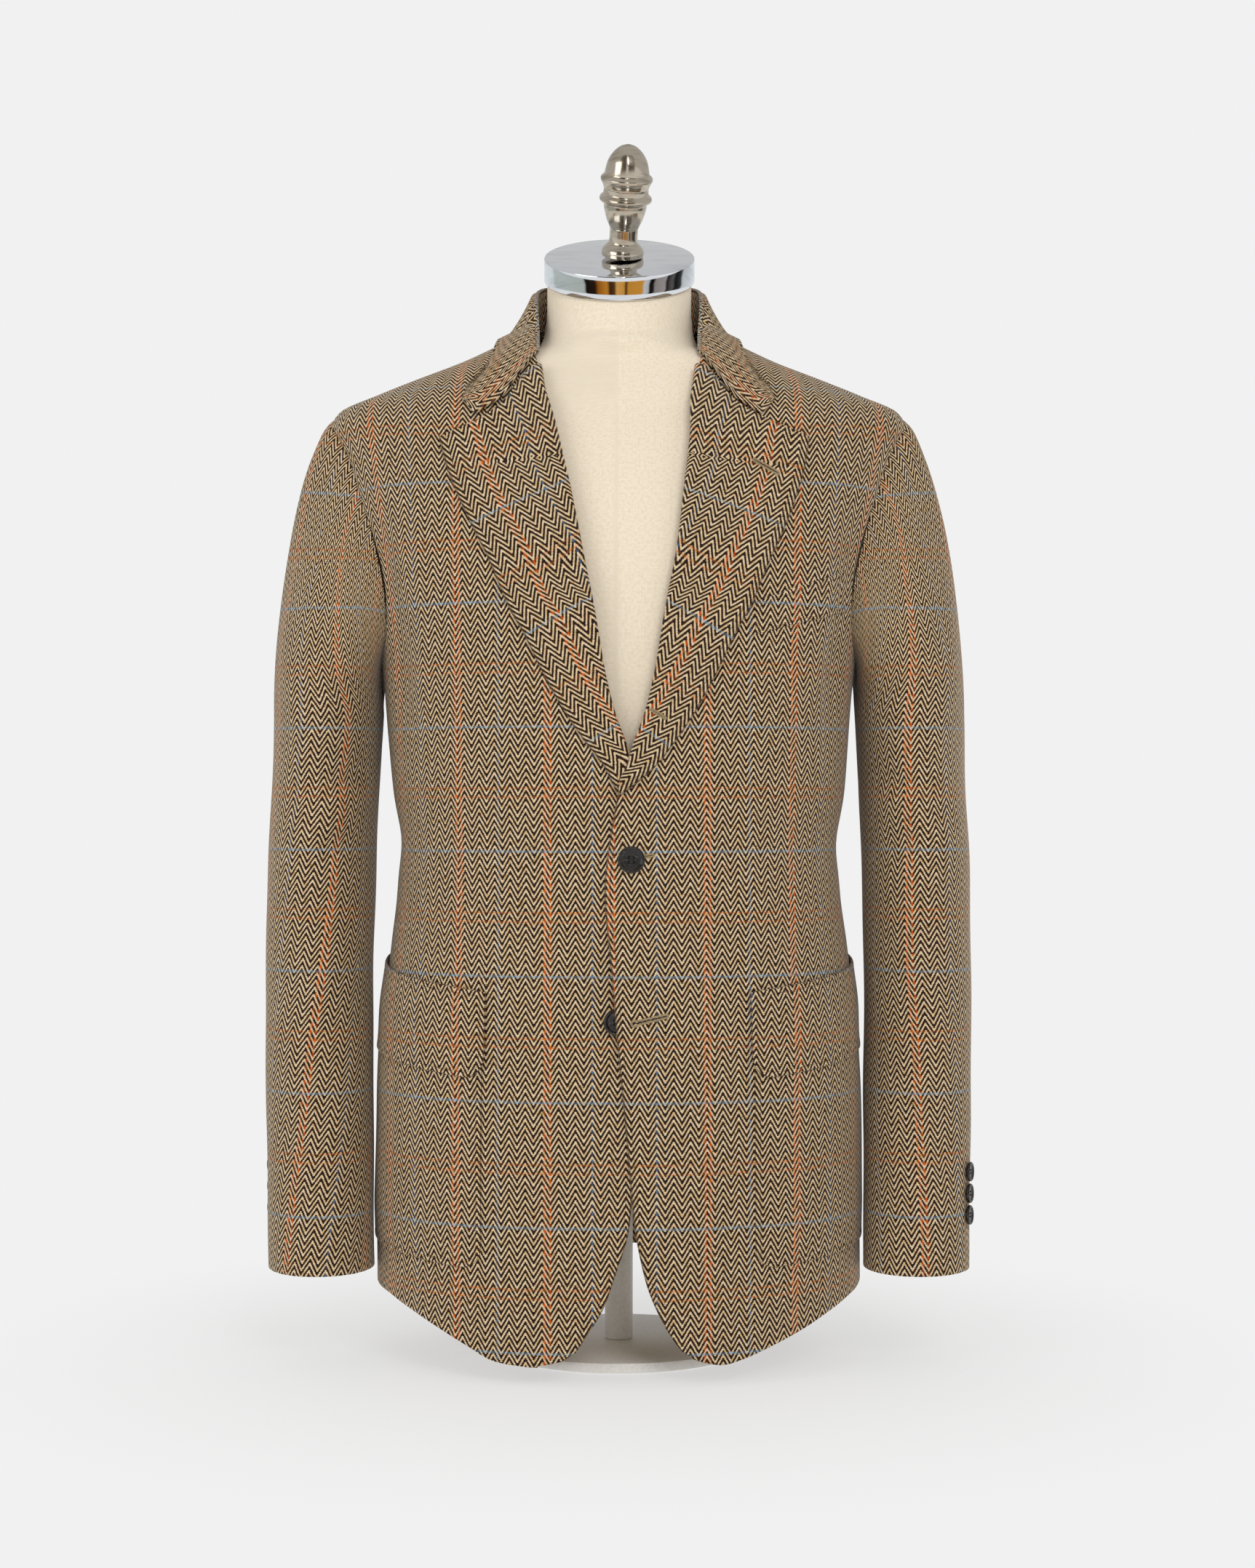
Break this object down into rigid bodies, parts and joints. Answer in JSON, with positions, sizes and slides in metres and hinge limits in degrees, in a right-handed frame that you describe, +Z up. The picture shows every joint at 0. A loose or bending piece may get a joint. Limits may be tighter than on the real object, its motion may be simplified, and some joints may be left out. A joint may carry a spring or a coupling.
{
  "type": "tweed hacking jacket on a limbless dress form",
  "caption": "Single-breasted notch-lapel tweed jacket with flapped patch pockets, on a linen dress form with a metal neck cap, turned finial, short pole and round base.",
  "frame": {"origin": "on the resting surface, under the middle of the whole's box", "axes": "+Z up; the jacket faces -Y; the wearer's left is +X"},
  "size_m": [0.5491, 0.2856, 0.9383],
  "materials": {
    "tweed": "brushed wool herringbone with a windowpane check",
    "horn": "polished dark horn",
    "linen": "plain woven linen, stretched",
    "chrome": "polished",
    "nickel": "polished, warm",
    "paint": "satin"
  },
  "bodies": {
    "root": {"back_left": "tweed", "back_right": "tweed", "breast_welt": "tweed", "button_cuff_left_1": "horn", "button_cuff_left_2": "horn", "button_cuff_left_3": "horn", "button_cuff_right_1": "horn", "button_cuff_right_2": "horn", "button_cuff_right_3": "horn", "button_front_low": "horn", "button_front_top": "horn", "collar_leaf": "tweed", "collar_stand": "tweed", "finial": "nickel", "form_torso": "linen", "front_left": "tweed", "front_right": "tweed", "lapel_left": "tweed", "lapel_right": "tweed", "neck_cap": "chrome", "pocket_flap_left": "tweed", "pocket_flap_right": "tweed", "pocket_patch_left": "tweed", "pocket_patch_right": "tweed", "sleeve_under_left": "tweed", "sleeve_under_right": "tweed", "sleeve_upper_left": "tweed", "sleeve_upper_right": "tweed", "stand_base": "paint", "stand_pole": "paint"}
  },
  "joints": []
}
